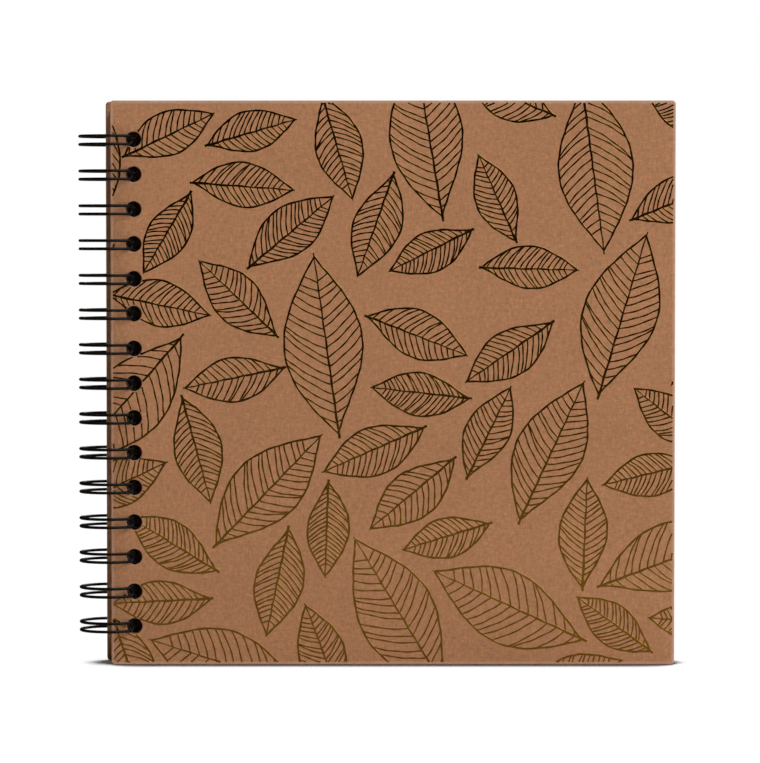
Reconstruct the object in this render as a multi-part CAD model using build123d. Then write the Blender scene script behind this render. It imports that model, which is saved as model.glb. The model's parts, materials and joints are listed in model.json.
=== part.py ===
"""A square scrapbook album bound with a black twin-loop wire, standing upright.

The front cover faces -Y, the wire spine runs along Z at the -X end and the album stands on its
covers' bottom edges at Z = 0. The origin is the bottom centre of the whole album's box.

Everything is drawn about the wire's own axis first. A depth is a distance from that axis
towards the front, which is -Y. A reach is a distance from that axis towards the fore edge, which
is +X. The finished pieces are then moved so that the origin is where it belongs.
"""

from build123d import *
import os
from math import cos, radians, sin

# --- driving dimensions, in millimetres ---

COVER_SIZE = 206.0            # width and height of a cover
COVER_CORNER = 1.3            # rounding of a cover's four corners
WRAP_THICKNESS = 0.2          # printed kraft paper glued round the board
WRAP_FOLD_RADIUS = 0.5        # where that paper folds over the board's edges
TURN_IN = 14.0                # width of wrap folded onto the inside
MITRE_SLIT = 0.12             # open seam where two turn-ins meet at a corner
BOARD_THICKNESS = 1.4         # grey board core
LINING_THICKNESS = 0.2        # paper pasted over the inside of the board
LINING_MARGIN = 3.0           # wrap left showing round the lining

LEAF_COUNT = 20
LEAF_SIZE = 200.0
LEAF_THICKNESS = 0.42
LEAF_GAP = 0.06               # air between two neighbouring leaves

HOLE_COUNT = 15
HOLE_PITCH = 12.7             # two holes to the inch
HOLE_RADIUS = 2.9
COVER_HOLE_TO_SPINE = 8.5     # hole centre to the cover's spine edge
LEAF_HOLE_TO_SPINE = 8.0

WIRE_RADIUS = 0.5
RING_RADIUS = 10.4            # of the wire's centreline
LOOP_SPACING = 3.0            # between the two strands of one double loop
ROOT_BEND_RADIUS = 0.9        # where a strand bends into the straight between loops
WIRE_DROP = 0.28              # how far the wire hangs below the holes' centres
WIRE_CLEARANCE = 0.09         # between the wire's straights and the sheets on either side
TIP_DEPTH_BELOW_FACE = 1.0    # how far a loop's closed end sinks into the front cover's hole
HALVINGS = 40                 # steps in the search for an angle

FRONT_FACE_DEPTH = 6.4        # outside of the front cover, in front of the wire's axis
BACK_FACE_DEPTH = -8.5        # outside of the back cover, behind the wire's axis
FRONT_HOLE_REACH = 9.6        # the slack in the holes lets the covers sit a little apart
BACK_HOLE_REACH = 7.1
LEAF_HOLE_REACH = 9.3

# --- worked out from them ---

COVER_THICKNESS = 2 * WRAP_THICKNESS + BOARD_THICKNESS + LINING_THICKNESS
FRONT_INSIDE_DEPTH = FRONT_FACE_DEPTH - COVER_THICKNESS
ROOT_DEPTH = FRONT_INSIDE_DEPTH - WIRE_CLEARANCE - WIRE_RADIUS
FIRST_LEAF_FRONT = ROOT_DEPTH - WIRE_RADIUS - WIRE_CLEARANCE
LEAF_PITCH = LEAF_THICKNESS + LEAF_GAP
HOLE_HEIGHTS = [
    COVER_SIZE / 2 + (number - (HOLE_COUNT - 1) / 2) * HOLE_PITCH for number in range(HOLE_COUNT)
]
RING_OUTER_RADIUS = RING_RADIUS + WIRE_RADIUS
FORE_EDGE_REACH = FRONT_HOLE_REACH - COVER_HOLE_TO_SPINE + COVER_SIZE
TO_ORIGIN = Pos((RING_OUTER_RADIUS - FORE_EDGE_REACH) / 2, 0, 0)


def plate(spine_reach, foot_height, size, near_depth, far_depth, corner=0.0):
    """An upright square sheet between two depths, with its spine edge at a reach."""
    outline = Rectangle(size, size)
    if corner:
        outline = fillet(outline.vertices(), corner)
    middle = Pos(spine_reach + size / 2, foot_height + size / 2)
    low_depth = min(near_depth, far_depth)
    return extrude(Plane.XZ.offset(low_depth) * middle * outline, abs(far_depth - near_depth))


def punched(sheet, hole_reach):
    """The sheet with its column of binding holes."""
    through = 4 * COVER_THICKNESS  # long enough to pass any sheet
    middle_depth = -sheet.center().Y
    cutters = [
        Plane.XZ.offset(middle_depth) * Pos(hole_reach, height) * Cylinder(HOLE_RADIUS, through)
        for height in HOLE_HEIGHTS
    ]
    return sheet - cutters


def board(spine_reach, layer_depths):
    """The stiff core, smaller than the cover by the wrap's thickness on all four edges."""
    size = COVER_SIZE - 2 * WRAP_THICKNESS
    corner = COVER_CORNER - WRAP_THICKNESS
    return plate(
        spine_reach + WRAP_THICKNESS,
        WRAP_THICKNESS,
        size,
        layer_depths["board_outside"],
        layer_depths["board_inside"],
        corner,
    )


def mitre_slits(spine_reach, layer_depths):
    """Thin diagonal cuts through the turn-ins, one at each corner."""
    length = 2 * TURN_IN
    inside = layer_depths["board_inside"]
    turned = layer_depths["turn_in"]
    middle_depth = (inside + turned) / 2
    slit = Box(length, MITRE_SLIT, WRAP_THICKNESS)
    slits = []
    for side in (-1, 1):
        for end in (-1, 1):
            corner_reach = spine_reach + COVER_SIZE / 2 + side * (COVER_SIZE / 2 - TURN_IN / 2)
            corner_height = COVER_SIZE / 2 + end * (COVER_SIZE / 2 - TURN_IN / 2)
            turn = 45 * side * end
            place = Plane.XZ.offset(middle_depth) * Pos(corner_reach, corner_height) * Rot(0, 0, turn)
            slits.append(place * slit)
    return slits


def wrap(spine_reach, layer_depths):
    """The covering paper: the outer face, the four edges and the turn-ins on the inside."""
    outside = layer_depths["outside"]
    turned = layer_depths["turn_in"]
    block = plate(spine_reach, 0, COVER_SIZE, outside, turned, COVER_CORNER)
    rim = block.faces().filter_by(Axis.Y)
    block = fillet([edge for face in rim for edge in face.edges()], WRAP_FOLD_RADIUS)
    window = plate(
        spine_reach + TURN_IN,
        TURN_IN,
        COVER_SIZE - 2 * TURN_IN,
        layer_depths["board_inside"],
        turned,
    )
    hollow = board(spine_reach, layer_depths)
    return block - [hollow, window] - mitre_slits(spine_reach, layer_depths)


def lining(spine_reach, layer_depths):
    """The inside paper: it lies over the turn-ins and sinks into the window between them."""
    sheet = plate(
        spine_reach + LINING_MARGIN,
        LINING_MARGIN,
        COVER_SIZE - 2 * LINING_MARGIN,
        layer_depths["turn_in"],
        layer_depths["inside"],
    )
    sunk = plate(
        spine_reach + TURN_IN,
        TURN_IN,
        COVER_SIZE - 2 * TURN_IN,
        layer_depths["board_inside"],
        layer_depths["turn_in"],
    )
    return sheet + sunk


def cover(name, hole_reach, outside_depth, inward):
    """The three layers of a cover. inward is the sign of a step from its face to its inside."""
    spine_reach = hole_reach - COVER_HOLE_TO_SPINE
    depths = {"outside": outside_depth}
    depths["board_outside"] = depths["outside"] + inward * WRAP_THICKNESS
    depths["board_inside"] = depths["board_outside"] + inward * BOARD_THICKNESS
    depths["turn_in"] = depths["board_inside"] + inward * WRAP_THICKNESS
    depths["inside"] = depths["turn_in"] + inward * LINING_THICKNESS
    return {
        f"{name}_board": punched(board(spine_reach, depths), hole_reach),
        f"{name}_wrap": punched(wrap(spine_reach, depths), hole_reach),
        f"{name}_lining": punched(lining(spine_reach, depths), hole_reach),
    }


def leaf(number):
    """One blank card leaf. Number 0 lies next to the front cover."""
    front = FIRST_LEAF_FRONT - number * LEAF_PITCH
    spine_reach = LEAF_HOLE_REACH - LEAF_HOLE_TO_SPINE
    foot_height = (COVER_SIZE - LEAF_SIZE) / 2
    sheet = plate(spine_reach, foot_height, LEAF_SIZE, front, front - LEAF_THICKNESS)
    return punched(sheet, LEAF_HOLE_REACH)


def on_ring(angle, height):
    """A point of the ring. The angle grows from the fore edge side towards the front."""
    return Vector(RING_RADIUS * cos(radians(angle)), -RING_RADIUS * sin(radians(angle)), height)


def along_ring(angle):
    """The direction in which the ring runs at that angle, as the angle grows."""
    return Vector(-sin(radians(angle)), -cos(radians(angle)), 0)


def straight(start, end):
    """A straight piece of wire."""
    section = Plane(origin=start, z_dir=end - start) * Circle(WIRE_RADIUS)
    return extrude(section, (end - start).length)


def bent(start, heading, centre, axis, angle):
    """A piece of wire bent round an axis."""
    section = Plane(origin=start, z_dir=heading) * Circle(WIRE_RADIUS)
    return revolve(section, Axis(centre, axis), angle)


def angle_reaching(wanted_depth, depth_at, widest):
    """The angle between 0 and widest at which a depth that grows with it gets to the wanted one."""
    low, high = 0.0, widest
    for _ in range(HALVINGS):
        middle = (low + high) / 2
        low, high = (middle, high) if depth_at(radians(middle)) < wanted_depth else (low, middle)
    return low


def root_angle():
    """Where a strand leaves the ring, so that the straights lie just inside the front cover."""

    def straight_depth(angle):
        return RING_RADIUS * sin(angle) + ROOT_BEND_RADIUS * cos(angle)

    return angle_reaching(ROOT_DEPTH, straight_depth, 45.0)


def tip_angle():
    """Where a strand meets the half round end, so that the end sinks into the cover's hole."""

    def end_depth(angle):
        return RING_RADIUS * sin(angle) - LOOP_SPACING / 2 * cos(angle)

    return angle_reaching(FRONT_FACE_DEPTH - TIP_DEPTH_BELOW_FACE, end_depth, 90.0)


def double_loop(height, root, tip):
    """Two strands round the ring, closed by a half round end."""
    half_spacing = LOOP_SPACING / 2
    upward = Vector(0, 0, 1)
    sweep_angle = 360 - (tip - root)
    pieces = []
    for side in (-1, 1):
        start = on_ring(root, height + side * half_spacing)
        pieces.append(bent(start, -along_ring(root), (0, 0, 0), upward, sweep_angle))
    top_start = on_ring(tip, height + half_spacing)
    outward = on_ring(tip, 0).normalized()
    pieces.append(bent(top_start, -along_ring(tip), on_ring(tip, height), outward, 180))
    return pieces


def root_straight(low_loop, high_loop, root):
    """The bends and the straight that join one double loop to the next."""
    half_spacing = LOOP_SPACING / 2
    low_start = on_ring(root, low_loop + half_spacing)
    high_start = on_ring(root, high_loop - half_spacing)
    rise = Vector(0, 0, ROOT_BEND_RADIUS)
    over = along_ring(root) * ROOT_BEND_RADIUS
    outward = on_ring(root, 0).normalized()
    low_bend = bent(low_start, along_ring(root), low_start + rise, outward, -90)
    high_bend = bent(high_start, along_ring(root), high_start - rise, outward, 90)
    return [low_bend, high_bend, straight(low_start + rise + over, high_start - rise + over)]


def binding_wire():
    """One length of wire bent into a column of double loops and closed into a ring."""
    root = root_angle()
    tip = tip_angle()
    loops = [height - WIRE_DROP for height in HOLE_HEIGHTS]
    pieces = []
    for height in loops:
        pieces += double_loop(height, root, tip)
    for low_loop, high_loop in zip(loops, loops[1:]):
        pieces += root_straight(low_loop, high_loop, root)
    return pieces[0].fuse(*pieces[1:])


def album():
    """Every piece of the album by name, about the wire's axis."""
    pieces = {"binding_wire": binding_wire()}
    pieces.update(cover("front", FRONT_HOLE_REACH, FRONT_FACE_DEPTH, -1))
    pieces.update(cover("back", BACK_HOLE_REACH, BACK_FACE_DEPTH, 1))
    for number in range(LEAF_COUNT):
        pieces[f"leaf_{number + 1:02d}"] = leaf(number)
    return pieces


os.makedirs("parts", exist_ok=True)
for node, piece in album().items():
    export_step(TO_ORIGIN * piece, f"parts/{node}.step")
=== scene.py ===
"""The looks of a square scrapbook album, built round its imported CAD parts.

The album stands upright on Z = 0. The front cover faces -Y and the wire spine runs along Z at the -X
side. Boards and linings keep their CAD shapes. The covers' paper, the leaves and the wire are
modelled again here with finer shapes, and the covers get a print of plain leaves in metallic foil.
Sizes are in millimetres until a mesh is made, which is in metres.
"""

import json
import math
import random

import bpy
import numpy as np
from mathutils import Matrix, Vector


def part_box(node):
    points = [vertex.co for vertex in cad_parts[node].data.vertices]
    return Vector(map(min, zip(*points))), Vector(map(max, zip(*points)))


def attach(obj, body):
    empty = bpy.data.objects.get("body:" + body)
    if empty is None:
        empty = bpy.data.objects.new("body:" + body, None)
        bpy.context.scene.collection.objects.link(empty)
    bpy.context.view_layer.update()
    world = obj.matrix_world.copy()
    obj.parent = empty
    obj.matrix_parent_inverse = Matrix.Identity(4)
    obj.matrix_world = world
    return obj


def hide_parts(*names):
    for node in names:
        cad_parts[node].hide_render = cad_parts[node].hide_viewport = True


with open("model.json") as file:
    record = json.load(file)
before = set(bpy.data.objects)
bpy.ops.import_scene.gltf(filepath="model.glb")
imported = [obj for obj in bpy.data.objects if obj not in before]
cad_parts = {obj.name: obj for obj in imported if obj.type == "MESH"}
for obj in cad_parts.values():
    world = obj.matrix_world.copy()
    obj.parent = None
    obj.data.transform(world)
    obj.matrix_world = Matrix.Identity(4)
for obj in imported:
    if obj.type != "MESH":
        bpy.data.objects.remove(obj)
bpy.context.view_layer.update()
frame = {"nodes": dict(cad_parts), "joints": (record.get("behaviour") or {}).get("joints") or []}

MM = 0.001                    # one millimetre in scene units

# --- the covers' paper ---

COVER_CORNER = 1.3            # rounding of a cover's four corners
FOLD_RADIUS = 0.5             # where the paper folds over the board's edges
PAPER = 0.2                   # thickness of the printed paper
TURN_IN = 14.0                # width of paper folded onto the inside
MITRE_SLIT = 0.12             # open seam where two turn-ins meet
SLIT_FROM_CORNER = 1.0        # how far inside the corner that seam starts
PAST_PAPER = 1.5 * PAPER      # how far a cutter reaches to each side of the paper's inner face
WINDOW_CORNER = 0.05          # rounding of the window that the turn-ins leave
CORNER_STEPS = 8
FOLD_STEPS = 6
SHARP_ANGLE = 38.0            # degrees between faces that meet in an edge that shows

# --- the binding ---

HOLE_COUNT = 15
HOLE_PITCH = 12.7
HOLE_RADIUS = 2.9
HOLE_RIM = 0.2                # rounding of a hole's rim in a cover
HOLE_SIDES = 48
PUNCH_BEYOND = 1.0            # how far a punch reaches past the sheet on each side
COVER_HOLE_TO_SPINE = 8.5
LEAF_HOLE_TO_SPINE = 8.0
WIRE_RADIUS = 0.5
WIRE_COATING = 0.04           # the black coating over it
WIRE_SIDES = 20
WIRE_SHARP_ANGLE = 60.0
LOOP_SPACING = 3.0            # between the two strands of a double loop
ROOT_BEND_RADIUS = 0.9
WIRE_DROP = 0.28
TIP_DEPTH_BELOW_FACE = 1.0    # how far a loop's closed end sinks into the front cover's hole
ARC_STEP = 4.0                # degrees of ring between two stations of the wire
BEND_STEP = 15.0              # the same in a tight bend
WIRE_END = ((0.62, 0.12), (0.9, 0.04))  # the domed cut ends: share of the radius, radii it stands out

# --- the leaves ---

LEAF_COUNT = 20
LEAF_CORNER = 0.3
LEAF_EDGE = 0.05              # rounding of a leaf's cut edge
LEAF_HOLE_RIM = 0.03
LEAF_SHIFT = 0.16             # how far a leaf may sit out of line with the others
SHIFT_SEED = 5

# --- the foil print ---

PRINT_SEED = 11
PRINT_MARGIN = 24.0           # the scatter goes on this far past the cover on each side
PRINT_INSET = 0.9             # bare paper along the cover's edges
BIG_SPRIGS = 13
SMALL_SPRIGS = 52
STARTING_TRIES = 24           # places tried for each printed leaf before the settling
BIG_LENGTH = (54.0, 66.0)
SMALL_LENGTH = (33.0, 40.0)
SPRIG_GAP = 3.7               # wanted air between two printed leaves
SPRIG_REACH = 0.36            # radius it is taken to fill at first, as a share of its length
SMALLEST_DISC = 0.5
DISC_SHARES = (0.03, 0.16, 0.33, 0.5, 0.67, 0.84, 0.97)  # where discs lie along a printed leaf
SETTLING_STEPS = 200
SETTLING_PUSH = 0.12          # share of an overlap that one step moves a leaf by
SETTLING_TWIST = 0.35         # and that it turns it by
LEFT_HALF = 0.238             # half widths of a printed leaf, as shares of its length
RIGHT_HALF = 0.205
OUTLINE_STEPS = 44
STEM_SHARE = 0.03             # of its length that the midrib sticks out of the base
TIP_SHARE = 0.02              # and of the apex
MIDRIB_TAPER = 0.45           # of its width that the midrib loses towards the apex
FIRST_VEIN = 0.055            # where the side veins leave the midrib, as shares of the length
LAST_VEIN = 0.86
VEIN_STRAY = 0.008
VEIN_LEAN = 62.0              # degrees between a side vein and the midrib where it leaves it
VEIN_LEAN_STRAY = 4.0
VEIN_BEND = 22.0              # degrees by which it bends towards the apex
VEIN_STRIDE = 0.55 / 9        # one step along it, as a share of the leaf's half width
OUTLINE_WIDTH = 0.80
VEIN_WIDTH = 0.64
MIDRIB_WIDTH = 1.02
VEIN_PAIRS = (13, 17)         # fewest and most side veins on each side of a printed leaf
LINE_SWAY = 0.09              # how far a hand-drawn line sways to a side
SWAY_RATE = (0.5, 0.9)        # how quickly, in radians per millimetre
WIDTH_SWAY = 0.14             # how much its width changes, as a share
WIDTH_RATE = 1.7              # and how many times as quickly
FOIL_SLANT = 0.10             # width of a foil line's slanting sides
VEIN_HEIGHT = 0.024           # how far the foil's top lies above the paper
OUTLINE_HEIGHT = 0.030
MIDRIB_HEIGHT = 0.036
FOIL_SUNK = 0.02              # how far its underside lies in the paper
FOIL_TO_HOLE = 0.12           # bare paper round a hole, outside its rounded rim
CLIP_HALVINGS = 12            # steps in the search for the point where a line leaves the print

# --- the floor and the camera ---

FLOOR_RADIUS = 1000.0
FLOOR_SIDES = 96
CONTACT_SHADOW = 20.0         # how far the soft shadow round the foot reaches
CAMERA_DISTANCE = 1370.0      # from the front cover
CAMERA_HEIGHT = 158.0
AIM_HEIGHT = 103.65           # of the point it looks at
CAMERA_ASIDE = 1.3            # of the camera and of the point it looks at, from the album's middle
SENSOR = 36.0
FIELD_HEIGHT = 278.2          # what the picture takes in at the front cover

PAINTED_SHADE_GAP = 0.3          # between the back cover and the strip of painted shade behind its holes
PAINTED_SHADE_HALF = 4.0         # half that strip's width
PAINTED_SHADE_BEYOND = 5.0       # how far it runs past the outermost holes' centres

LIGHTS = (                    # name, place, size, watts, whether it shows in what mirrors it
    ("key_light", (900, -1300, 1500), 800, 7.5, False),
    ("glint_light", (900, -1300, 1500), 800, 4.5, True),
    ("top_light", (350, -500, 1900), 800, 6, True),
    ("back_light", (300, 1500, 1300), 900, 14, True),
)


def box_in_mm(node):
    """Lowest and highest corner of a CAD node."""
    low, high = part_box(node)
    return low / MM, high / MM


front_low, front_high = box_in_mm("front_wrap")
back_low, back_high = box_in_mm("back_wrap")
COVER_SIZE = front_high.z - front_low.z
RING_X = frame["joints"][0]["pos_m"][0] / MM
HOLE_HEIGHTS = [
    COVER_SIZE / 2 + (number - (HOLE_COUNT - 1) / 2) * HOLE_PITCH for number in range(HOLE_COUNT)
]


# --- meshes ---


def mesh_object(name, points, faces):
    """A new object from points in millimetres."""
    mesh = bpy.data.meshes.new(name)
    mesh.from_pydata([Vector(point) * MM for point in points], [], faces)
    mesh.update()
    thing = bpy.data.objects.new(name, mesh)
    bpy.context.scene.collection.objects.link(thing)
    return thing


def rounded_square(low_x, low_z, size_x, size_z, corner):
    """Points round a rectangle with rounded corners, counter-clockwise as seen from -Y."""
    points = []
    for turn, (side_x, side_z) in enumerate(((1, 0), (1, 1), (0, 1), (0, 0))):
        middle_x = low_x + (size_x - corner if side_x else corner)
        middle_z = low_z + (size_z - corner if side_z else corner)
        for step in range(CORNER_STEPS + 1):
            angle = math.radians(90 * (turn - 1) + 90 * step / CORNER_STEPS)
            points.append((middle_x + corner * math.cos(angle), middle_z + corner * math.sin(angle)))
    return points


def loft(rings):
    """Points and faces of a closed solid through rings of the same count, with flat ends."""
    count = len(rings[0])
    points = [point for ring in rings for point in ring]
    faces = []
    for row in range(len(rings) - 1):
        for column in range(count):
            here = row * count + column
            beside = row * count + (column + 1) % count
            faces.append((here, here + count, beside + count, beside))
    faces.append(tuple(range(count)))
    faces.append(tuple(reversed(range(len(points) - count, len(points)))))
    return points, faces


def plate(name, low, high, corner, fold=0.0, steps=FOLD_STEPS):
    """An upright sheet between two corners, its four edges rounded by the fold's radius."""
    profile = []
    for step in range(steps + 1 if fold else 1):
        angle = math.radians(90 * step / steps)
        profile.append((fold * (1 - math.sin(angle)), fold * (1 - math.cos(angle))))
    rings = []
    for inset, depth in profile:
        rings.append((inset, low[1] + depth))
    for inset, depth in reversed(profile):
        rings.append((inset, high[1] - depth))
    loops = []
    for inset, y in rings:
        outline = rounded_square(
            low[0] + inset,
            low[2] + inset,
            high[0] - low[0] - 2 * inset,
            high[2] - low[2] - 2 * inset,
            corner - inset,
        )
        loops.append([(x, y, z) for x, z in outline])
    return mesh_object(name, *loft(loops))


def join(name, things):
    """One object from several."""
    points, faces = [], []
    for thing in things:
        start = len(points)
        points += [vertex.co / MM for vertex in thing.data.vertices]
        faces += [tuple(start + index for index in face.vertices) for face in thing.data.polygons]
        bpy.data.objects.remove(thing)
    return mesh_object(name, points, faces)


def cut(thing, cutters):
    """Takes the cutters away from a closed object, and removes them."""
    for cutter in cutters:
        modifier = thing.modifiers.new("cut", "BOOLEAN")
        modifier.operation = "DIFFERENCE"
        modifier.solver = "EXACT"
        modifier.object = cutter
    bpy.context.view_layer.update()
    evaluated = thing.evaluated_get(bpy.context.evaluated_depsgraph_get())
    finished = bpy.data.meshes.new_from_object(evaluated)
    thing.modifiers.clear()
    thing.data = finished
    for cutter in cutters:
        bpy.data.objects.remove(cutter)


def smooth(thing):
    """Smooth shading that keeps flat faces flat and real edges sharp."""
    thing.data.shade_smooth()
    thing.data.set_sharp_from_angle(angle=math.radians(SHARP_ANGLE))
    modifier = thing.modifiers.new("flat_faces", "WEIGHTED_NORMAL")
    modifier.keep_sharp = True


def hole_cutter(x, low_y, high_y, rim):
    """A column of round punches whose ends flare, so that each hole gets rounded rims."""
    profile = [(low_y - PUNCH_BEYOND, HOLE_RADIUS + rim)]
    for step in range(FOLD_STEPS + 1):
        angle = math.radians(90 * step / FOLD_STEPS)
        depth = rim * (1 - math.cos(angle))
        profile.append((low_y + depth, HOLE_RADIUS + rim * (1 - math.sin(angle))))
    middle = (low_y + high_y) / 2
    profile += [(2 * middle - y, radius) for y, radius in reversed(profile)]
    punches = []
    for height in HOLE_HEIGHTS:
        rings = []
        for y, radius in profile:
            ring = []
            for side in range(HOLE_SIDES):
                angle = 2 * math.pi * side / HOLE_SIDES
                ring.append((x + radius * math.cos(angle), y, height + radius * math.sin(angle)))
            rings.append(ring)
        punches.append(mesh_object("punch", *loft(rings)))
    return join("punches", punches)


# --- materials ---


def screen_colour(red, green, blue):
    """A colour as seen on a screen, from 0 to 255, as the linear values that materials take."""

    def linear(value):
        share = value / 255
        return share / 12.92 if share <= 0.04045 else ((share + 0.055) / 1.055) ** 2.4

    return (linear(red), linear(green), linear(blue), 1.0)


def new_material(name):
    """A node material without nodes."""
    material = bpy.data.materials.new(name)
    material.use_nodes = True
    material.node_tree.nodes.clear()
    return material


def add(material, kind, inputs=None, **settings):
    """A node with its settings. An input is a value or another node's output."""
    tree = material.node_tree
    node = tree.nodes.new("ShaderNode" + kind)
    for key, value in settings.items():
        setattr(node, key, value)
    for key, value in (inputs or {}).items():
        if isinstance(value, bpy.types.NodeSocket):
            tree.links.new(value, node.inputs[key])
        else:
            node.inputs[key].default_value = value
    return node


def place(material, stretch=(1, 1, 1)):
    """Coordinates fixed to the object, in metres, stretched along its axes."""
    coordinates = add(material, "TexCoord").outputs["Object"]
    mapping = add(material, "Mapping", {"Vector": coordinates, "Scale": stretch})
    return mapping.outputs["Vector"]


def noise(material, feature, detail=3.0, stretch=(1, 1, 1), roughness=0.5):
    """Noise whose blobs are about feature millimetres across, as a value round 0.5."""
    node = add(
        material,
        "TexNoise",
        {
            "Vector": place(material, stretch),
            "Scale": 1 / (feature * MM),
            "Detail": detail,
            "Roughness": roughness,
        },
    )
    return node.outputs["Fac"]


def remap(material, value, low, high, to_low=0.0, to_high=1.0, kind="LINEAR"):
    """The value's range from low to high, spread over another range and held to it."""
    node = add(
        material,
        "MapRange",
        {"Value": value, "From Min": low, "From Max": high, "To Min": to_low, "To Max": to_high},
        interpolation_type=kind,
    )
    return node.outputs["Result"]


def mix(material, share, first, second):
    """Two colours mixed, by a share of the second."""
    inputs = {"Fac": share, "Color1": first, "Color2": second}
    return add(material, "MixRGB", inputs).outputs["Color"]


def arithmetic(material, operation, first, second):
    """Two values combined."""
    node = add(material, "Math", {0: first, 1: second}, operation=operation)
    return node.outputs[0]


def size_of(material, value):
    """The value without its sign."""
    return arithmetic(material, "ABSOLUTE", value, 0.0)


def toned(colour, red, green, blue):
    """A colour with each part multiplied, up to full strength."""
    parts = zip(colour, (red, green, blue))
    return tuple(min(1.0, part * factor) for part, factor in parts) + (1.0,)


def bump(material, height, distance, strength=1.0, under=None):
    """A bump of that many millimetres."""
    inputs = {"Height": height, "Distance": distance * MM, "Strength": strength}
    if under:
        inputs["Normal"] = under
    return add(material, "Bump", inputs).outputs["Normal"]


def finish_material(material, inputs):
    """The surface shader and the output."""
    surface = add(material, "BsdfPrincipled", inputs)
    add(material, "OutputMaterial", {"Surface": surface.outputs["BSDF"]})
    return material


def facing(material):
    """The way a surface faces in the object's own frame: -1 to the front, 0 sideways, 1 to the back."""
    normal = add(material, "TexCoord").outputs["Normal"]
    parts = add(material, "SeparateXYZ", {"Vector": normal})
    return parts.outputs["Y"]


def edge_distance(material, low, high):
    """Distance from the nearest of the four edges of an upright sheet, in metres."""
    position = add(material, "TexCoord").outputs["Object"]
    parts = add(material, "SeparateXYZ", {"Vector": position}).outputs
    distances = []
    for axis, start, end in (("X", low.x, high.x), ("Z", low.z, high.z)):
        off_middle = arithmetic(material, "SUBTRACT", parts[axis], (start + end) / 2 * MM)
        half = (end - start) / 2 * MM
        distances.append(arithmetic(material, "SUBTRACT", half, size_of(material, off_middle)))
    return arithmetic(material, "MINIMUM", *distances)


def rubbed_and_highlit(material, low, high, outward):
    """Where a cover's paper turns pale on its outside: on its folded edges and just inside them. Partly
    wear, partly a painted highlight where the rounded folds turn away from the face.
    """
    depth = facing(material)
    folded = remap(material, size_of(material, depth), 0.97, 0.6)
    distance = edge_distance(material, low, high)
    band = remap(material, distance, 1.35 * MM, 0.75 * MM, 0.0, 0.85)
    patchy = remap(material, noise(material, 2.4), 0.35, 0.65, 0.55, 0.95)
    outside = remap(material, arithmetic(material, "MULTIPLY", depth, outward), -0.3, 0.3)
    edges = arithmetic(material, "MAXIMUM", folded, band)
    edges = arithmetic(material, "MULTIPLY", edges, patchy)
    return arithmetic(material, "MULTIPLY", edges, outside)


def paper_material(name, colour, wear_and_highlight=None):
    """Uncoated kraft paper: mottled pulp, short fibres both light and dark, a soft tooth.

    A cover's paper also gets pale edges, partly wear and partly a painted highlight on its folds. That
    takes its lowest and highest corner and the sign of y outside.
    """
    material = new_material(name)
    clouds = noise(material, 30.0, detail=2.0)
    pulp = noise(material, 1.3, detail=4.0, roughness=0.6)
    along = noise(material, 0.5, detail=2.0, stretch=(0.22, 1, 1))
    upward = noise(material, 0.5, detail=2.0, stretch=(1, 1, 0.22))
    patches = noise(material, 3.2, detail=3.0)
    darker = toned(colour, 0.68, 0.68, 0.68)
    lighter = toned(colour, 1.32, 1.32, 1.32)
    redder = toned(colour, 1.05, 0.93, 0.98)
    greener = toned(colour, 0.96, 1.05, 0.94)
    shade = mix(material, remap(material, pulp, 0.32, 0.68), darker, lighter)
    tint = mix(material, remap(material, patches, 0.35, 0.65), redder, greener)
    shade = mix(material, 0.5, shade, tint)
    shade = mix(material, remap(material, clouds, 0.3, 0.7, 0.0, 0.22), shade, darker)
    fibres = arithmetic(material, "ADD", along, upward)
    shade = mix(material, remap(material, fibres, 1.10, 1.26, 0.0, 0.65), shade, darker)
    shade = mix(material, remap(material, fibres, 0.90, 0.74, 0.0, 0.65), shade, lighter)
    if wear_and_highlight:
        # pale folded edges: partly wear, partly a painted highlight on the rounded folds
        shade = mix(material, rubbed_and_highlit(material, *wear_and_highlight), shade, screen_colour(182, 146, 124))
    tooth = bump(material, pulp, 0.05, 0.5)
    normal = bump(material, fibres, 0.03, 0.5, under=tooth)
    return finish_material(
        material,
        {
            "Base Color": shade,
            "Roughness": remap(material, pulp, 0.3, 0.7, 0.72, 0.9),
            "Specular IOR Level": 0.22,
            "Sheen Weight": 0.08,
            "Sheen Roughness": 0.6,
            "Normal": normal,
        },
    )


def board_material(name):
    """Grey pulp board: speckled with fibres, with its plies showing on a cut edge."""
    material = new_material(name)
    speckle = noise(material, 0.5, detail=4.0, roughness=0.7)
    plies = noise(material, 0.35, detail=1.0, stretch=(0.03, 1, 0.03))
    grey = screen_colour(150, 143, 134)
    dark = screen_colour(104, 97, 90)
    shade = mix(material, remap(material, speckle, 0.35, 0.65), dark, grey)
    shade = mix(material, remap(material, plies, 0.4, 0.6, 0.0, 0.45), shade, dark)
    return finish_material(
        material,
        {
            "Base Color": shade,
            "Roughness": 0.93,
            "Specular IOR Level": 0.15,
            "Normal": bump(material, arithmetic(material, "ADD", speckle, plies), 0.08, 0.6),
        },
    )


def wire_material(name):
    """Steel wire with a thick glossy black coating."""
    material = new_material(name)
    ripples = noise(material, 2.5, detail=2.0)
    dust = noise(material, 0.25, detail=2.0)
    black = (0.004, 0.004, 0.0045, 1)
    dusty = (0.02, 0.019, 0.018, 1)
    shade = mix(material, remap(material, dust, 0.62, 0.78, 0.0, 0.5), black, dusty)
    return finish_material(
        material,
        {
            "Base Color": shade,
            "Roughness": remap(material, dust, 0.3, 0.75, 0.20, 0.36),
            "IOR": 1.3,
            "Normal": bump(material, ripples, 0.02, 0.4),
        },
    )


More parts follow.
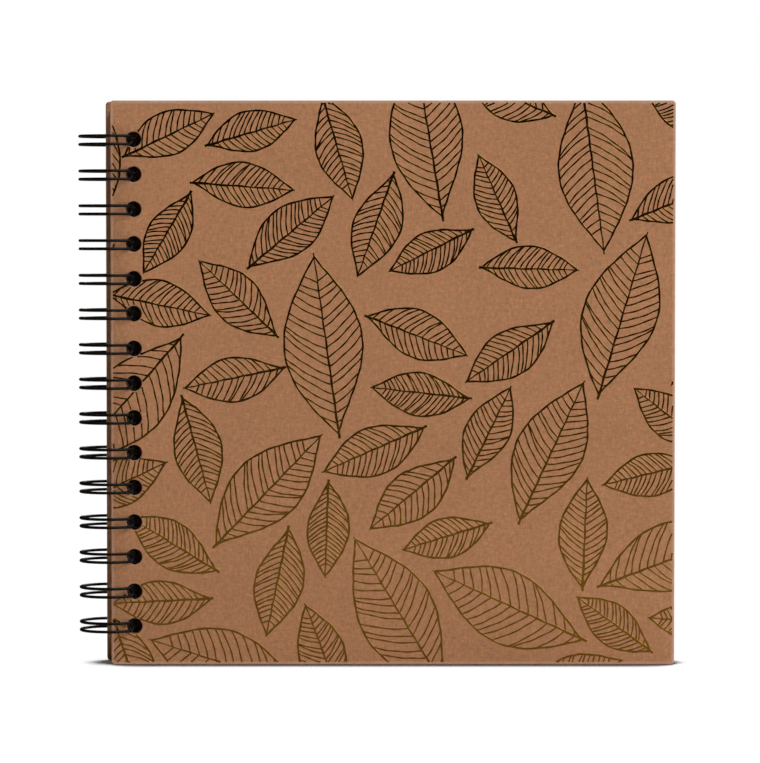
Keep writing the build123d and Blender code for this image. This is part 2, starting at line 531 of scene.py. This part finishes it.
def foil_material(name):
    """Hot-stamped bronze foil: mirror bright, slightly crumpled by the paper under it."""
    material = new_material(name)
    tooth = noise(material, 0.9, detail=3.0)
    tint = noise(material, 6.0, detail=2.0)
    golden = (0.70, 0.42, 0.09, 1)
    bronze = (0.56, 0.31, 0.05, 1)
    shade = mix(material, remap(material, tint, 0.35, 0.65), golden, bronze)
    return finish_material(
        material,
        {
            "Base Color": shade,
            "Metallic": 1.0,
            "Roughness": remap(material, tooth, 0.3, 0.7, 0.12, 0.22),
            "Normal": bump(material, tooth, 0.03, 0.5),
        },
    )


kraft = screen_colour(166, 118, 83)
cover_paper = {
    "front": paper_material("kraft_front_paper", kraft, (front_low, front_high, -1)),
    "back": paper_material("kraft_back_paper", kraft, (back_low, back_high, 1)),
}
lining_paper = paper_material("kraft_lining_paper", screen_colour(158, 114, 82))
leaf_card = paper_material("leaf_card", screen_colour(164, 123, 88))
grey_board = board_material("grey_pulp_board")
black_wire = wire_material("coated_black_wire")
bronze_foil = foil_material("stamped_bronze_foil")


def dress(thing, material):
    """Gives an object one material."""
    thing.data.materials.clear()
    thing.data.materials.append(material)


# --- the covers ---


def wrap(side):
    """The printed paper of one cover: outer face, folded edges and the turned-in margin inside."""
    low, high = box_in_mm(f"{side}_wrap")
    board_low, board_high = box_in_mm(f"{side}_board")
    paper = plate(f"{side}_wrap_paper", low, high, COVER_CORNER, FOLD_RADIUS)
    hollow = plate("hollow", board_low, board_high, COVER_CORNER - PAPER)
    inner_y = high.y if side == "front" else low.y
    across = Vector((0, PAST_PAPER, 0))
    window_low = Vector((low.x + TURN_IN, inner_y, low.z + TURN_IN)) - across
    window_high = Vector((high.x - TURN_IN, inner_y, high.z - TURN_IN)) + across
    window = plate("window", window_low, window_high, WINDOW_CORNER)
    slits = [mitre_slit(low, high, inner_y, right, up) for right in (0, 1) for up in (0, 1)]
    punches = hole_cutter(low.x + COVER_HOLE_TO_SPINE, low.y, high.y, HOLE_RIM)
    cut(paper, [hollow, window, join("slits", slits), punches])
    smooth(paper)
    dress(paper, cover_paper[side])
    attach(paper, f"{side}_cover")
    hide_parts(f"{side}_wrap")


def mitre_slit(low, high, inner_y, right, up):
    """The thin cutter for the diagonal seam between two turn-ins at a corner."""
    corner = Vector((high.x if right else low.x, inner_y, high.z if up else low.z))
    inward = Vector((-1 if right else 1, 0, -1 if up else 1)).normalized()
    along = Vector((inward.z, 0, -inward.x)) * MITRE_SLIT / 2
    through = Vector((0, PAST_PAPER, 0))
    start = corner + inward * SLIT_FROM_CORNER
    end = corner + inward * (TURN_IN * math.sqrt(2) + SLIT_FROM_CORNER)
    outline = (start - along, end - along, end + along, start + along)
    lower = [tuple(point - through) for point in outline]
    upper = [tuple(point + through) for point in outline]
    return mesh_object("slit", *loft([lower, upper]))


for side in ("front", "back"):
    wrap(side)
    dress(frame["nodes"][f"{side}_board"], grey_board)
    dress(frame["nodes"][f"{side}_lining"], lining_paper)


# --- the leaves ---


def leaf_blank():
    """The first leaf with its punched holes, as a mesh to copy."""
    low, high = box_in_mm("leaf_01")
    blank = plate("leaf_blank", low, high, LEAF_CORNER, LEAF_EDGE, steps=2)
    cut(blank, [hole_cutter(low.x + LEAF_HOLE_TO_SPINE, low.y, high.y, LEAF_HOLE_RIM)])
    smooth(blank)
    dress(blank, leaf_card)
    return blank, low


def leaves():
    """All leaves, each a little out of line with the next as in a hand-squared stack."""
    blank, first_low = leaf_blank()
    shifts = random.Random(SHIFT_SEED)
    for number in range(1, LEAF_COUNT + 1):
        node = f"leaf_{number:02d}"
        low, high = box_in_mm(node)
        aside = shifts.uniform(-LEAF_SHIFT, LEAF_SHIFT)
        lift = shifts.uniform(-LEAF_SHIFT, LEAF_SHIFT)
        sheet = blank.copy()
        sheet.name = f"{node}_card"
        sheet.data = blank.data.copy()
        step = low - first_low + Vector((aside, 0, lift))
        sheet.data.transform(Matrix.Translation(step * MM))
        bpy.context.scene.collection.objects.link(sheet)
        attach(sheet, node)
        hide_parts(node)
    bpy.data.objects.remove(blank)


leaves()


# --- the binding wire ---


def on_ring(angle, height, radius):
    """A point of the ring. The angle grows from the fore edge side towards the front."""
    return Vector((RING_X + radius * math.cos(angle), -radius * math.sin(angle), height))


def along_ring(angle):
    """The direction in which the ring runs as the angle grows."""
    return Vector((-math.sin(angle), -math.cos(angle), 0))


def wire_path():
    """The centre line of the wire, from its lower cut end to its upper one."""
    wire_low = box_in_mm("binding_wire")[0]
    radius = RING_X - wire_low.x - WIRE_RADIUS
    root_depth = -(box_in_mm("front_lining")[1].y + box_in_mm("leaf_01")[0].y) / 2
    tip_depth = -front_low.y - TIP_DEPTH_BELOW_FACE
    half = LOOP_SPACING / 2
    root = math.asin(root_depth / math.hypot(radius, ROOT_BEND_RADIUS))
    root -= math.atan2(ROOT_BEND_RADIUS, radius)
    tip = math.asin(tip_depth / math.hypot(radius, half)) + math.atan2(half, radius)
    sweep = 2 * math.pi - (tip - root)
    stations = math.ceil(math.degrees(sweep) / ARC_STEP)
    bend_steps = math.ceil(90 / BEND_STEP)
    path = []
    loops = [height - WIRE_DROP for height in HOLE_HEIGHTS]
    for number, height in enumerate(loops):
        if number:
            path += root_bend(height - half, root, radius, bend_steps, entering=True)
        for station in range(stations + 1):
            path.append(on_ring(root - sweep * station / stations, height - half, radius))
        centre = on_ring(tip, height, radius)
        for step in range(1, 2 * bend_steps):
            angle = math.radians(180 * step / (2 * bend_steps))
            bulge = -along_ring(tip) * half * math.sin(angle)
            path.append(centre + bulge - Vector((0, 0, half * math.cos(angle))))
        for station in range(stations + 1):
            path.append(on_ring(root - sweep + sweep * station / stations, height + half, radius))
        if number < len(loops) - 1:
            path += root_bend(height + half, root, radius, bend_steps, entering=False)
    return path


def root_bend(strand_height, root, radius, steps, entering):
    """The quarter bend between a strand and the straight that runs on to the next loop."""
    start = on_ring(root, strand_height, radius)
    rise = -1 if entering else 1
    points = []
    for step in range(1, steps + 1):
        angle = math.radians(90 * step / steps)
        over = along_ring(root) * ROOT_BEND_RADIUS * math.sin(angle)
        up = Vector((0, 0, rise * ROOT_BEND_RADIUS * (1 - math.cos(angle))))
        points.append(start + over + up)
    return points[::-1] if entering else points


def domed(ring, centre, outward, share, height):
    """A smaller copy of the wire's last ring, moved outward along the wire."""
    return [centre + (point - centre) * share + outward * height for point in ring]


def tube(name, path, radius, sides):
    """A round wire along a path, with slightly domed ends."""
    tangents = []
    for here in range(len(path)):
        before = path[max(here - 1, 0)]
        after = path[min(here + 1, len(path) - 1)]
        tangents.append((after - before).normalized())
    side = tangents[0].orthogonal().normalized()
    rings = []
    for point, tangent in zip(path, tangents):
        side = (side - tangent * side.dot(tangent)).normalized()
        other = side.cross(tangent)
        ring = []
        for number in range(sides):
            angle = 2 * math.pi * number / sides
            ring.append(point + radius * (math.cos(angle) * side + math.sin(angle) * other))
        rings.append(ring)
    first = [domed(rings[0], path[0], -tangents[0] * radius, *step) for step in WIRE_END]
    last = [domed(rings[-1], path[-1], tangents[-1] * radius, *step) for step in WIRE_END]
    rings = first + rings + last[::-1]
    return mesh_object(name, *loft([[tuple(point) for point in ring] for ring in rings]))


def binding_wire():
    """The whole wire as one piece."""
    wire = tube("binding_wire_coated", wire_path(), WIRE_RADIUS + WIRE_COATING, WIRE_SIDES)
    wire.data.shade_smooth()
    wire.data.set_sharp_from_angle(angle=math.radians(WIRE_SHARP_ANGLE))
    dress(wire, black_wire)
    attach(wire, "wire")
    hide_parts("binding_wire")


binding_wire()


# --- the foil print: a scatter of plain leaves ---


def spread_out(draw, lengths, tile):
    """Starting places: each the one farthest from the leaves before it, of several drawn."""
    middles = []
    for number in range(len(lengths)):
        best_room = -math.inf
        for _ in range(STARTING_TRIES):
            place_here = np.array((draw.uniform(0, tile), draw.uniform(0, tile)))
            room = math.inf
            for other, taken in enumerate(middles):
                apart = place_here - taken
                apart -= tile * np.round(apart / tile)
                room = min(room, math.hypot(*apart) - SPRIG_REACH * lengths[other])
            if room > best_room:
                best_room, best_place = room, place_here
        middles.append(best_place)
    return np.array(middles)


def scatter():
    """Where the printed leaves lie: (middle x, middle y, direction, length) of each.

    The scatter repeats like a patterned sheet. Each leaf is stood for by a chain of discs, and
    overlapping discs push their leaves apart and turn them until the leaves lie evenly.
    """
    draw = random.Random(PRINT_SEED)
    tile = COVER_SIZE + 2 * PRINT_MARGIN
    lengths = [draw.uniform(*BIG_LENGTH) for _ in range(BIG_SPRIGS)]
    lengths += [draw.uniform(*SMALL_LENGTH) for _ in range(SMALL_SPRIGS)]
    count = len(lengths)
    lengths = np.array(lengths)
    middles = spread_out(draw, lengths, tile)
    headings = np.array([draw.uniform(0, 2 * math.pi) for _ in range(count)])
    shares = np.array(DISC_SHARES)
    discs = len(shares)
    half_width = (LEFT_HALF + RIGHT_HALF) / 2
    reach = (shares - 0.5)[None, :] * lengths[:, None]
    radii = np.sin(np.pi * shares)[None, :] * half_width * lengths[:, None]
    radii = np.maximum(radii, SMALLEST_DISC).ravel()
    owner = np.repeat(np.arange(count), discs)
    stranger = owner[:, None] != owner[None, :]
    wanted = radii[:, None] + radii[None, :] + SPRIG_GAP
    for _ in range(SETTLING_STEPS):
        pointing = np.stack([np.cos(headings), np.sin(headings)], axis=1)
        arms = (reach[:, :, None] * pointing[:, None, :]).reshape(-1, 2)
        centres = arms + np.repeat(middles, discs, axis=0)
        apart = centres[:, None, :] - centres[None, :, :]
        apart -= tile * np.round(apart / tile)
        distance = np.sqrt((apart ** 2).sum(axis=2)) + 1e-6  # never zero, so it can divide
        overlap = np.where(stranger, np.maximum(wanted - distance, 0), 0)
        push = (apart * (overlap / distance)[:, :, None]).sum(axis=1)
        twist = arms[:, 0] * push[:, 1] - arms[:, 1] * push[:, 0]
        middles = middles + SETTLING_PUSH * push.reshape(count, discs, 2).sum(axis=1)
        turns = twist.reshape(count, discs).sum(axis=1) / lengths ** 2
        headings = headings + SETTLING_TWIST * turns
    middles %= tile
    return [
        (middle[0] - PRINT_MARGIN, middle[1] - PRINT_MARGIN, heading, length)
        for middle, heading, length in zip(middles, headings, lengths)
    ]


def half_width_at(share, side, length):
    """Distance from a printed leaf's midrib to its outline, at a share of the way to its apex.

    The exponents move the widest place a little off the middle, and draw one side's ends out.
    """
    share = min(max(share, 0.0), 1.0)
    if side > 0:
        return LEFT_HALF * length * math.sin(math.pi * share ** 0.95)
    return RIGHT_HALF * length * max(math.sin(math.pi * share ** 1.08), 0.0) ** 1.1


def vein(start, side, length, wobble):
    """A side vein, from the midrib to the outline, bending towards the apex."""
    points = []
    along = start
    out = 0.0
    stride = VEIN_STRIDE * LEFT_HALF * length
    lean = math.radians(VEIN_LEAN + VEIN_LEAN_STRAY * wobble)
    while out < half_width_at(along, side, length):
        points.append((along * length, side * out))
        fullness = out / (LEFT_HALF * length)
        turn = lean - math.radians(VEIN_BEND) * fullness
        along += stride * math.cos(turn) / length
        out += stride * math.sin(turn)
    edge = half_width_at(along, side, length)
    points.append((along * length, side * min(out, edge)))
    return points


def drawn(points, width, draw):
    """A line as a hand draws it: it sways a little and its width changes along it."""
    phase = draw.uniform(0, 2 * math.pi)
    rate = draw.uniform(*SWAY_RATE)
    moved, widths = [], []
    walked = 0.0
    for number, point in enumerate(points):
        before = points[max(number - 1, 0)]
        after = points[min(number + 1, len(points) - 1)]
        walked += math.hypot(point[0] - before[0], point[1] - before[1])
        run = math.hypot(after[0] - before[0], after[1] - before[1])
        across = (before[1] - after[1]) / run, (after[0] - before[0]) / run
        off = LINE_SWAY * math.sin(rate * walked + phase)
        moved.append((point[0] + across[0] * off, point[1] + across[1] * off))
        change = WIDTH_SWAY * math.sin(WIDTH_RATE * rate * walked + 2 * phase)
        widths.append(width * (1 + change))
    return moved, widths


def printed_leaf(length, draw):
    """The lines of one leaf lying along +x from its base: (points, widths, height) of each."""
    lines = []
    shares = [step / OUTLINE_STEPS for step in range(OUTLINE_STEPS + 1)]
    for side in (1, -1):
        outline = [(share * length, side * half_width_at(share, side, length)) for share in shares]
        lines.append((*drawn(outline, OUTLINE_WIDTH, draw), OUTLINE_HEIGHT))
    whole = STEM_SHARE + 1 + TIP_SHARE
    rib = [(length * (-STEM_SHARE + whole * share), 0.0) for share in shares]
    rib, widths = drawn(rib, MIDRIB_WIDTH, draw)
    widths = [width * (1 - MIDRIB_TAPER * share) for width, share in zip(widths, shares)]
    lines.append((rib, widths, MIDRIB_HEIGHT))
    pairs = draw.randint(*VEIN_PAIRS)
    for side in (1, -1):
        for number in range(pairs):
            start = FIRST_VEIN + (LAST_VEIN - FIRST_VEIN) * number / (pairs - 1)
            start += draw.uniform(-VEIN_STRAY, VEIN_STRAY)
            points = vein(start, side, length, draw.uniform(-1, 1))
            if len(points) > 2:
                lines.append((*drawn(points, VEIN_WIDTH, draw), VEIN_HEIGHT))
    return lines


def laid_out(points, middle_x, middle_y, heading, length):
    """Points of a leaf along +x, put where the leaf lies on the cover."""
    cosine, sine = math.cos(heading), math.sin(heading)
    placed = []
    for x, y in points:
        x -= length / 2
        placed.append((middle_x + x * cosine - y * sine, middle_y + x * sine + y * cosine))
    return placed


def in_print(point):
    """Whether foil can lie at a point of the cover's face, measured from its lower spine corner."""
    x, z = point
    if min(x, z, COVER_SIZE - x, COVER_SIZE - z) < PRINT_INSET:
        return False
    nearest = min(HOLE_HEIGHTS, key=lambda height: abs(height - z))
    bare = HOLE_RADIUS + HOLE_RIM + FOIL_TO_HOLE
    return math.hypot(x - COVER_HOLE_TO_SPINE, z - nearest) > bare


def clipped(points, widths):
    """The runs of a line that lie in the print."""
    runs = []
    run = []
    for number, (point, width) in enumerate(zip(points, widths)):
        inside = in_print(point)
        if number and inside != bool(run):
            inner, outer = (run[-1][0], point) if run else (point, points[number - 1])
            for _ in range(CLIP_HALVINGS):
                middle = ((inner[0] + outer[0]) / 2, (inner[1] + outer[1]) / 2)
                if in_print(middle):
                    inner = middle
                else:
                    outer = middle
            run.append((inner, width))
        if inside:
            run.append((point, width))
        elif run:
            runs.append(run)
            run = []
    if run:
        runs.append(run)
    return [run for run in runs if len(run) > 1]


def ribbon(run, height, points, faces, to_face):
    """Adds a thin strip of foil along a run: flat on top, with slanting sides."""
    start = len(points)
    for number, (point, width) in enumerate(run):
        before = run[max(number - 1, 0)][0]
        after = run[min(number + 1, len(run) - 1)][0]
        heading = Vector((after[0] - before[0], after[1] - before[1])).normalized()
        across = Vector((-heading.y, heading.x))
        half = width / 2
        section = (
            (-half, -FOIL_SUNK),
            (FOIL_SLANT - half, height),
            (half - FOIL_SLANT, height),
            (half, -FOIL_SUNK),
        )
        for sideways, level in section:
            x = point[0] + across.x * sideways
            z = point[1] + across.y * sideways
            points.append(to_face(x, z, level))
        if number:
            base = start + 4 * (number - 1)
            for edge in range(4):
                beside = (edge + 1) % 4
                faces.append((base + edge, base + beside, base + 4 + beside, base + 4 + edge))
    last = start + 4 * (len(run) - 1)
    faces.append((start + 3, start + 2, start + 1, start))
    faces.append((last, last + 1, last + 2, last + 3))


def foil(side, sprigs, shift):
    """The print of one cover. A shift of the pattern sheet gives each cover its own part of it."""
    tile = COVER_SIZE + 2 * PRINT_MARGIN
    low = front_low if side == "front" else back_low
    face_y, outward = (front_low.y, -1) if side == "front" else (back_high.y, 1)

    def to_face(x, z, level):
        return (low.x + x, face_y + outward * level, low.z + z)

    draw = random.Random(PRINT_SEED + 1)
    points, faces = [], []
    for middle_x, middle_y, heading, length in sprigs:
        lines = printed_leaf(length, draw)
        for across in (-1, 0, 1):
            for up in (-1, 0, 1):
                x = middle_x + shift * tile + across * tile
                y = middle_y + shift * tile + up * tile
                beyond = length / 2
                if not (-beyond < x < COVER_SIZE + beyond and -beyond < y < COVER_SIZE + beyond):
                    continue
                for line, widths, height in lines:
                    for run in clipped(laid_out(line, x, y, heading, length), widths):
                        ribbon(run, height, points, faces, to_face)
    print_piece = mesh_object(f"{side}_foil_print", points, faces)
    if side == "front":
        print_piece.data.flip_normals()
    dress(print_piece, bronze_foil)
    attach(print_piece, f"{side}_cover")


sprigs = scatter()
foil("front", sprigs, 0.0)
foil("back", sprigs, 0.5)


# --- floor, light and camera ---


def floor():
    """A plain pale table top. The camera sees it glow white, with a painted soft shadow at the foot,
    darkest where the album leaves little open space round it. Other rays see it grey, and darker and
    browner where it is mirrored.
    """
    material = new_material("pale_floor")
    rays = add(material, "LightPath")
    # painted contact shadow: the glow is darkened where ambient occlusion finds the album close by
    crevice = add(material, "AmbientOcclusion", {"Distance": CONTACT_SHADOW * MM})
    open_to_light = remap(material, crevice.outputs["AO"], 0.62, 0.80, kind="SMOOTHSTEP")
    in_shadow = (0.085, 0.066, 0.055, 1)
    in_light = (1.03, 1.03, 1.03, 1)
    bright = add(material, "Emission", {"Color": mix(material, open_to_light, in_shadow, in_light)})
    scattered = (0.85, 0.81, 0.77, 1)
    mirrored = (0.19, 0.15, 0.09, 1)
    grey = mix(material, rays.outputs["Is Glossy Ray"], scattered, mirrored)
    pale = add(material, "BsdfDiffuse", {"Color": grey})
    surface = add(
        material,
        "MixShader",
        {0: rays.outputs["Is Camera Ray"], 1: pale.outputs["BSDF"], 2: bright.outputs["Emission"]},
    )
    add(material, "OutputMaterial", {"Surface": surface.outputs["Shader"]})
    rim = []
    for number in range(FLOOR_SIDES):
        angle = 2 * math.pi * number / FLOOR_SIDES
        rim.append((FLOOR_RADIUS * math.cos(angle), FLOOR_RADIUS * math.sin(angle), 0))
    thing = mesh_object("floor", rim, [tuple(range(FLOOR_SIDES))])
    thing.data.materials.append(material)


def painted_shade_behind_holes():
    """A black sheet of painted shade behind the binding holes, seen only by the camera through
    them. From behind it is clear, and it neither shades nor lights the album."""
    material = new_material("painted_shade_behind_holes")
    from_behind = add(material, "NewGeometry").outputs["Backfacing"]
    in_view = add(material, "LightPath").outputs["Is Camera Ray"]
    shown = arithmetic(material, "SUBTRACT", in_view, from_behind)
    clear = add(material, "BsdfTransparent")
    # the painted shade: a near-black glow that only the camera sees, from the front
    black = add(material, "Emission", {"Color": (0.004, 0.002, 0.001, 1)})
    surface = add(
        material,
        "MixShader",
        {0: shown, 1: clear.outputs["BSDF"], 2: black.outputs["Emission"]},
    )
    add(material, "OutputMaterial", {"Surface": surface.outputs["Shader"]})
    y = back_high.y + PAINTED_SHADE_GAP
    middle = back_low.x + COVER_HOLE_TO_SPINE
    left = middle - PAINTED_SHADE_HALF
    right = middle + PAINTED_SHADE_HALF
    foot = HOLE_HEIGHTS[0] - PAINTED_SHADE_BEYOND
    top = HOLE_HEIGHTS[-1] + PAINTED_SHADE_BEYOND
    corners = [(left, y, foot), (right, y, foot), (right, y, top), (left, y, top)]
    strip = mesh_object("painted_shade_behind_holes", corners, [(0, 1, 2, 3)])
    strip.data.materials.append(material)


def surroundings():
    """A studio that the camera sees white. It lights from the right, and is dark towards the
    horizon for what mirrors it."""
    world = bpy.data.worlds.new("studio")
    bpy.context.scene.world = world
    world.use_nodes = True
    world.node_tree.nodes.clear()
    view = add(world, "TexCoord").outputs["Generated"]
    direction = add(world, "SeparateXYZ", {"Vector": view}).outputs
    height = direction["Z"]
    from_right = remap(world, direction["X"], -0.05, 0.8, 0.03, 2.07, kind="SMOOTHSTEP")
    mirrored = remap(world, height, 0.12, 0.70, 0.028, 1.1, kind="SMOOTHSTEP")
    mirrored = arithmetic(world, "MULTIPLY", mirrored, from_right)
    scattered = remap(world, height, -0.1, 0.8, 1.02, 1.16)
    scattered = arithmetic(world, "MULTIPLY", scattered, from_right)
    rays = add(world, "LightPath")
    glossy = rays.outputs["Is Glossy Ray"]
    not_glossy = arithmetic(world, "SUBTRACT", 1.0, glossy)
    strength = arithmetic(
        world,
        "ADD",
        arithmetic(world, "MULTIPLY", glossy, mirrored),
        arithmetic(world, "MULTIPLY", not_glossy, scattered),
    )
    seen = arithmetic(world, "MAXIMUM", strength, rays.outputs["Is Camera Ray"])
    brown = arithmetic(world, "MULTIPLY", glossy, remap(world, height, 0.35, 0.1))
    tint = mix(world, brown, (1, 1, 1, 1), (1.0, 0.27, 0.06, 1))
    background = add(world, "Background", {"Color": tint, "Strength": seen})
    add(world, "OutputWorld", {"Surface": background.outputs["Background"]})


def soft_light(name, position, size, power, mirrored):
    """A square softbox that looks at the album's middle. It may be hidden from what mirrors it."""
    data = bpy.data.lights.new(name, "AREA")
    data.shape = "SQUARE"
    data.size = size * MM
    data.energy = power
    thing = bpy.data.objects.new(name, data)
    thing.visible_glossy = mirrored
    thing.location = Vector(position) * MM
    towards = Vector((0, 0, COVER_SIZE / 2)) - Vector(position)
    thing.rotation_euler = towards.to_track_quat("-Z", "Y").to_euler()
    bpy.context.scene.collection.objects.link(thing)


def camera():
    """The camera in front of the cover, a little above its middle and looking slightly down."""
    data = bpy.data.cameras.new("camera")
    data.sensor_width = SENSOR
    data.lens = SENSOR * CAMERA_DISTANCE / FIELD_HEIGHT
    thing = bpy.data.objects.new("camera", data)
    position = Vector((CAMERA_ASIDE, front_low.y - CAMERA_DISTANCE, CAMERA_HEIGHT))
    aim = Vector((CAMERA_ASIDE, front_low.y, AIM_HEIGHT))
    thing.location = position * MM
    thing.rotation_euler = (aim - position).to_track_quat("-Z", "Y").to_euler()
    bpy.context.scene.collection.objects.link(thing)
    bpy.context.scene.camera = thing


floor()
surroundings()
painted_shade_behind_holes()
for name, position, size, power, mirrored in LIGHTS:
    soft_light(name, position, size, power, mirrored)
camera()
bpy.context.scene.view_settings.view_transform = "Standard"
